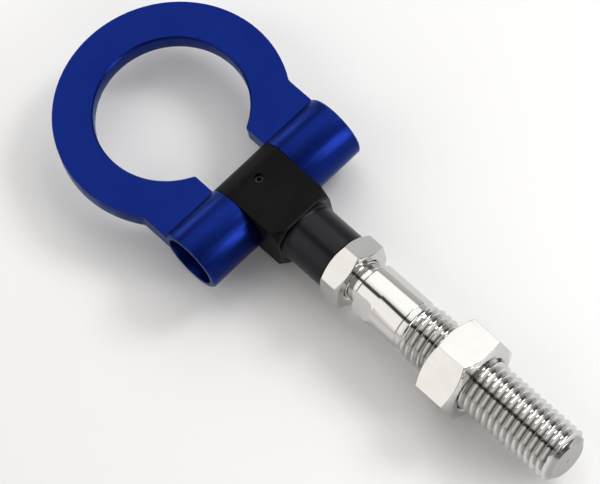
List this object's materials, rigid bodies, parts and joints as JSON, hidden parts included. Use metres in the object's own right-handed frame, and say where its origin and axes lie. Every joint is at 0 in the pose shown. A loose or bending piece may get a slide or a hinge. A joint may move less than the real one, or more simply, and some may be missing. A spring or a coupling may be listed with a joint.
{
  "type": "folding tow eye",
  "caption": "Forked ring hinged on a square steel block, with a coarse-threaded stud and lock nuts.",
  "frame": {"origin": "on the stud's axis, where its coarse thread starts behind the lock nut", "axes": "+X along the stud towards its tip, +Y along the hinge pin, +Z square to the flat ring plate"},
  "size_m": [0.2121, 0.076, 0.0304],
  "materials": {
    "ring_blue": "blue anodised, satin gloss",
    "block_black": "black satin",
    "pin_steel": "ground steel",
    "screw_black": "black oxide",
    "jam_chrome": "bright plated",
    "stud_chrome": "bright plated",
    "lock_chrome": "bright plated"
  },
  "bodies": {
    "shaft": {"stud": "stud_chrome", "hinge_block": "block_black", "hinge_pin": "pin_steel", "set_screw": "screw_black", "jam_nut": "jam_chrome"},
    "ring": {"tow_ring": "ring_blue"},
    "nut": {"lock_nut": "lock_chrome"}
  },
  "joints": [
    {"name": "ring_fold", "type": "hinge", "parent": "shaft", "child": "ring", "pos_m": [-0.07, 0, 0], "axis": [0, 1, 0], "range_deg": [-160, 160]},
    {"name": "nut_travel", "type": "slide", "parent": "shaft", "child": "nut", "axis": [1, 0, 0], "range_m": [-0.0105, 0.0365]}
  ]
}
